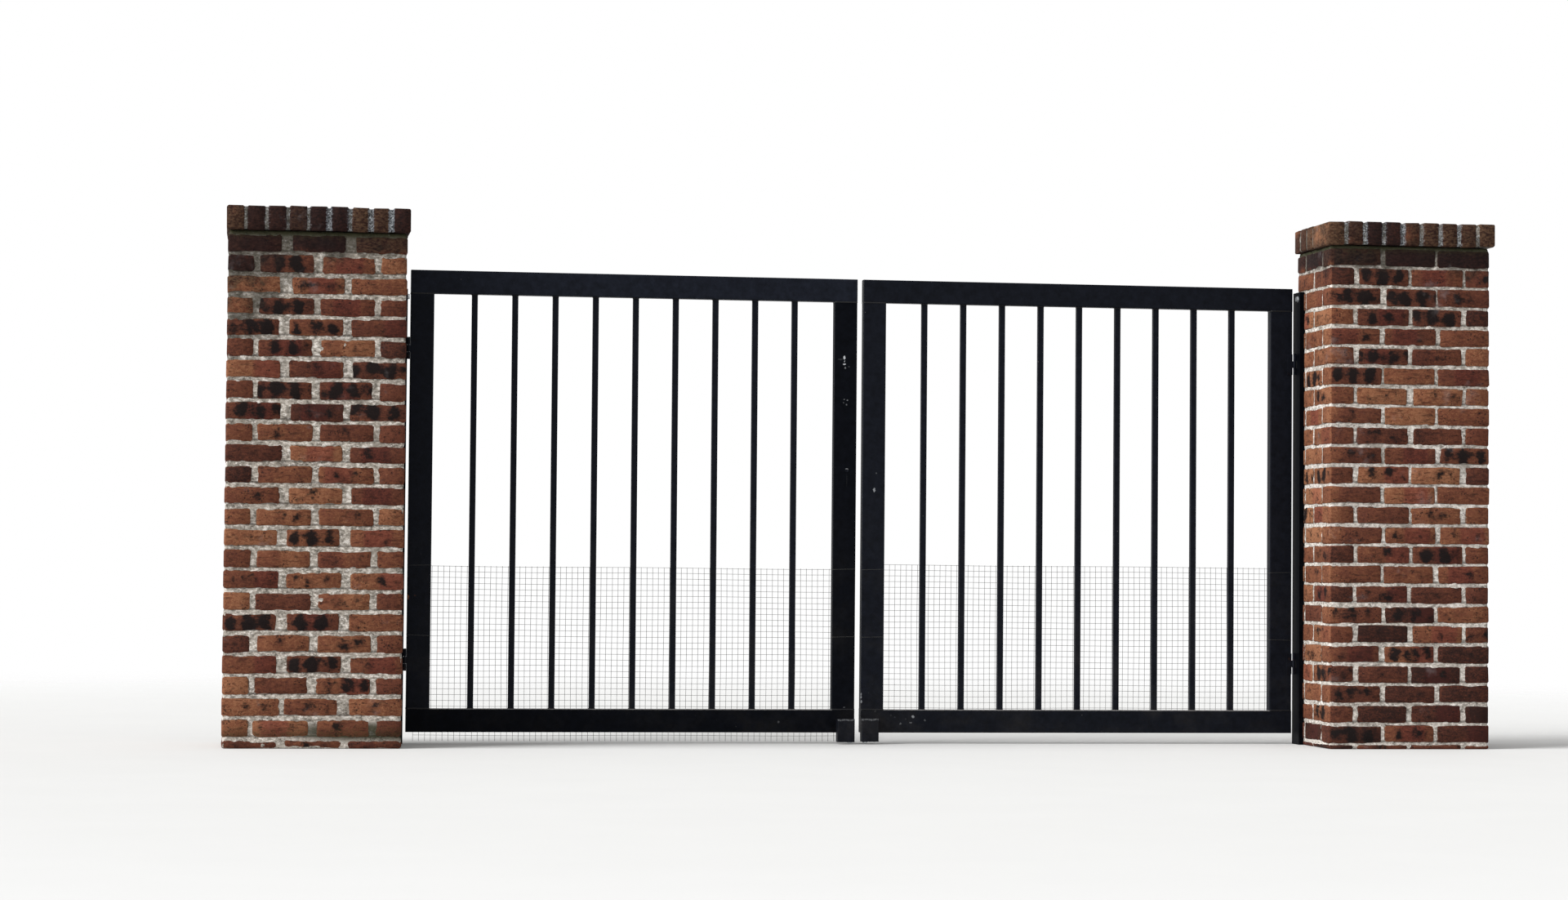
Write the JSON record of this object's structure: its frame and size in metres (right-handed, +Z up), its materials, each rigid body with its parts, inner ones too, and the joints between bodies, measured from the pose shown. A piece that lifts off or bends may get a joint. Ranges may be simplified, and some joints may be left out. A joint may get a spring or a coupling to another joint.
{
  "type": "driveway gate",
  "caption": "Double-leaf swing driveway gate of black painted rectangular steel tube with square pickets and welded mesh, hung between capped brick piers",
  "frame": {"origin": "on the ground, midway between the two piers and on their centre line, which is the middle of the bounding box's base", "axes": "+X along the gate, to the right of a viewer on the street side; +Y away from that viewer; +Z up"},
  "size_m": [5.467, 0.495, 2.286],
  "materials": {
    "brickwork": "rough fired clay with pale mortar",
    "cap_brick": "weathered fired clay",
    "black_paint": "satin black paint",
    "galvanised": "galvanised, dull",
    "mesh_wire": "galvanised wire, darkened"
  },
  "bodies": {
    "gateway": {"left_pier": "brickwork", "left_pier_cap": "cap_brick", "left_hanging_plate": "black_paint", "left_plate_bolt": "galvanised", "left_upper_hinge_fixed": "black_paint", "left_lower_hinge_fixed": "black_paint", "right_pier": "brickwork", "right_pier_cap": "cap_brick", "right_hanging_plate": "black_paint", "right_plate_bolt": "galvanised", "right_upper_hinge_fixed": "black_paint", "right_lower_hinge_fixed": "black_paint"},
    "left_leaf": {"left_top_rail": "black_paint", "left_bottom_rail": "black_paint", "left_hinge_stile": "black_paint", "left_meeting_stile": "black_paint", "left_pickets": "black_paint", "left_foot_block": "black_paint", "left_upper_hinge_moving": "black_paint", "left_lower_hinge_moving": "black_paint", "left_mesh": "mesh_wire", "left_foot_pin": "galvanised"},
    "right_leaf": {"right_top_rail": "black_paint", "right_bottom_rail": "black_paint", "right_hinge_stile": "black_paint", "right_meeting_stile": "black_paint", "right_pickets": "black_paint", "right_foot_block": "black_paint", "right_upper_hinge_moving": "black_paint", "right_lower_hinge_moving": "black_paint", "right_mesh": "mesh_wire", "right_foot_pin": "galvanised"}
  },
  "joints": [
    {"name": "left_leaf_hinge", "type": "hinge", "parent": "gateway", "child": "left_leaf", "pos_m": [-1.962, 0.187, 1.02], "axis": [0, 0, 1], "range_deg": [-90, 0]},
    {"name": "right_leaf_hinge", "type": "hinge", "parent": "gateway", "child": "right_leaf", "pos_m": [1.962, 0.187, 1.02], "axis": [0, 0, 1], "range_deg": [0, 90]}
  ]
}
